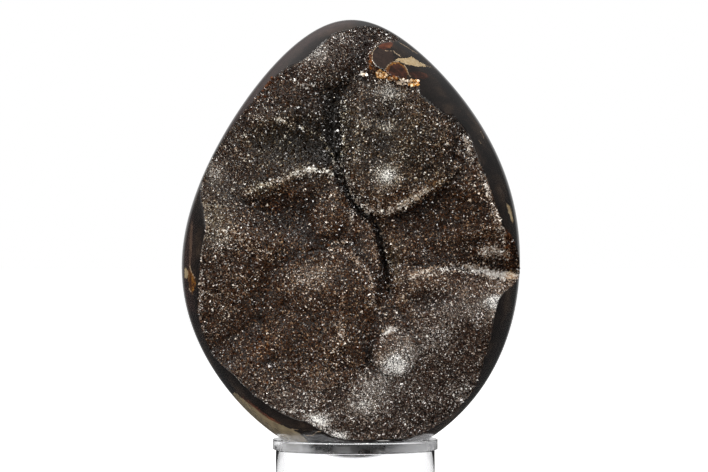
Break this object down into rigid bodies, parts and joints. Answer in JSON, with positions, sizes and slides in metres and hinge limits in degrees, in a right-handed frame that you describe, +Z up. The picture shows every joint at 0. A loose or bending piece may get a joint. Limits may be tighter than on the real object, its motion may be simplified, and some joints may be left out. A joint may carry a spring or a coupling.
{
  "type": "septarian nodule",
  "caption": "Dark stone ground to a polished egg, broken open in front onto a wall of small crystals, standing on end in a clear acrylic ring stand.",
  "frame": {"origin": "middle of the whole object's footprint, at the height of the tube's lower face", "axes": "+Z up, from the stand to the egg's narrow end; the broken face with its crystals looks towards -Y; +X is to its right as seen from the front"},
  "size_m": [0.1618, 0.1246, 0.2311],
  "materials": {
    "polished_limestone": "polished",
    "calcite_crystals": "satin",
    "clear_acrylic": "polished"
  },
  "bodies": {
    "root": {"nodule": "polished_limestone", "crystal_crust": "calcite_crystals", "stand_ring": "clear_acrylic", "stand_tube": "clear_acrylic"}
  },
  "joints": []
}
